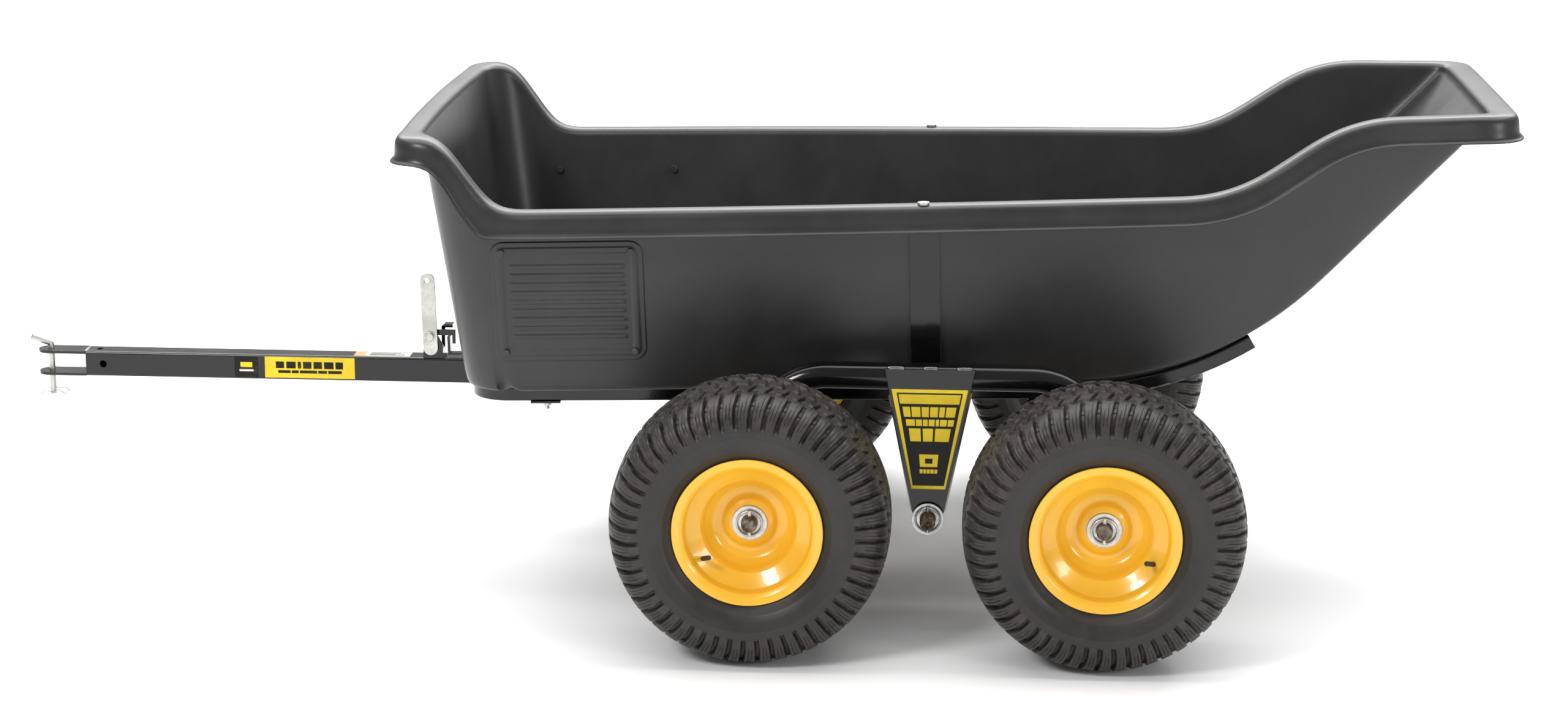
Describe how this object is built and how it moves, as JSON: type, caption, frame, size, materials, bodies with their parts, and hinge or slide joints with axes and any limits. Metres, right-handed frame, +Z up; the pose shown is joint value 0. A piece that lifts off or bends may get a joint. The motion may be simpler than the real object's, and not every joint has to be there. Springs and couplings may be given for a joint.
{
  "type": "tow-behind cart",
  "caption": "Tow-behind tipping cart: moulded plastic tub on a bent-tube frame, drawbar with pinned hitch, tandem wheels on walking arms.",
  "frame": {"origin": "on the ground, below the middle of the overall length and width", "axes": "+X to the rear, hitch towards -X, +Z up, left side -Y"},
  "size_m": [2.5504, 1.296, 0.8535],
  "materials": {
    "tub_plastic": "satin moulded polyethylene, fine grain",
    "black_paint": "gloss powder coat",
    "black_screws": "black oxide",
    "zinc": "bright zinc plate",
    "bare_steel": "bare cold-rolled shaft, browned at the cut ends",
    "bush_steel": "machined",
    "wheel_paint": "gloss yellow-orange enamel",
    "tyre": "moulded rubber, dusty tread",
    "bearing_nylon": "nylon",
    "valve_rubber": "moulded rubber with plastic cap",
    "label": "printed film, plain colour blocks"
  },
  "bodies": {
    "chassis": {"drawbar_tube": "black_paint", "hitch_tongues": "black_paint", "axle_hangers": "black_paint", "cross_axle": "bare_steel", "axle_spacers": "black_paint", "pivot_washers": "zinc", "pivot_linch_pins": "zinc", "latch_bracket": "black_paint", "latch_spring": "zinc"},
    "tub": {"tub_shell": "tub_plastic", "side_panels": "tub_plastic", "panel_bolts": "black_screws", "frame_rails": "black_paint", "frame_bolts": "zinc", "clamp_plates": "black_paint", "front_saddle": "black_paint", "latch_striker": "black_paint", "cross_tube": "black_paint", "rail_hangers": "black_paint", "hinge_bushes": "bush_steel", "side_straps": "black_paint", "rim_bolts": "zinc"},
    "latch": {"latch_lever": "zinc", "latch_hook": "black_paint", "latch_screw": "zinc"},
    "hitch_pin": {"hitch_pin": "zinc"},
    "hair_clip": {"hair_clip": "zinc"},
    "arm_left": {"walking_arch_left": "black_paint", "arm_bracket_left": "black_paint", "arm_bush_left": "bush_steel", "stub_axles_left": "bare_steel", "wheel_washers_left": "zinc", "wheel_linch_pins_left": "zinc"},
    "wheel_front_left": {"tyre_front_left": "tyre", "rim_front_left": "wheel_paint", "hub_front_left": "wheel_paint", "bearings_front_left": "bearing_nylon", "valve_front_left": "valve_rubber"},
    "wheel_rear_left": {"tyre_rear_left": "tyre", "rim_rear_left": "wheel_paint", "hub_rear_left": "wheel_paint", "bearings_rear_left": "bearing_nylon", "valve_rear_left": "valve_rubber"},
    "arm_right": {"walking_arch_right": "black_paint", "arm_bracket_right": "black_paint", "arm_bush_right": "bush_steel", "stub_axles_right": "bare_steel", "wheel_washers_right": "zinc", "wheel_linch_pins_right": "zinc"},
    "wheel_front_right": {"tyre_front_right": "tyre", "rim_front_right": "wheel_paint", "hub_front_right": "wheel_paint", "bearings_front_right": "bearing_nylon", "valve_front_right": "valve_rubber"},
    "wheel_rear_right": {"tyre_rear_right": "tyre", "rim_rear_right": "wheel_paint", "hub_rear_right": "wheel_paint", "bearings_rear_right": "bearing_nylon", "valve_rear_right": "valve_rubber"}
  },
  "joints": [
    {"name": "tub_dump", "type": "hinge", "parent": "chassis", "child": "tub", "pos_m": [0.32193, 0, 0.197], "axis": [0, 1, 0], "range_deg": [0, 40]},
    {"name": "latch_release", "type": "hinge", "parent": "chassis", "child": "latch", "pos_m": [-0.55957, 0, 0.389], "axis": [0, -1, 0], "range_deg": [0, 40], "stiffness_Nm_per_rad": 0.4, "springref_deg": -22.92},
    {"name": "hitch_pin_lift", "type": "slide", "parent": "chassis", "child": "hitch_pin", "axis": [0, 0, 1], "range_m": [0, 0.026]},
    {"name": "hair_clip_pull", "type": "slide", "parent": "hitch_pin", "child": "hair_clip", "axis": [1, 0, 0], "range_m": [0, 0.034]},
    {"name": "walking_arm_left", "type": "hinge", "parent": "chassis", "child": "arm_left", "pos_m": [0.32193, -0.4, 0.197], "axis": [0, 1, 0], "range_deg": [-14, 14]},
    {"name": "wheel_front_left_spin", "type": "hinge", "parent": "arm_left", "child": "wheel_front_left", "pos_m": [0.04093, -0.54, 0.225], "axis": [0, 1, 0], "continuous": true},
    {"name": "wheel_rear_left_spin", "type": "hinge", "parent": "arm_left", "child": "wheel_rear_left", "pos_m": [0.60293, -0.54, 0.225], "axis": [0, 1, 0], "continuous": true},
    {"name": "walking_arm_right", "type": "hinge", "parent": "chassis", "child": "arm_right", "pos_m": [0.32193, 0.4, 0.197], "axis": [0, 1, 0], "range_deg": [-14, 14]},
    {"name": "wheel_front_right_spin", "type": "hinge", "parent": "arm_right", "child": "wheel_front_right", "pos_m": [0.04093, 0.54, 0.225], "axis": [0, 1, 0], "continuous": true},
    {"name": "wheel_rear_right_spin", "type": "hinge", "parent": "arm_right", "child": "wheel_rear_right", "pos_m": [0.60293, 0.54, 0.225], "axis": [0, 1, 0], "continuous": true}
  ]
}
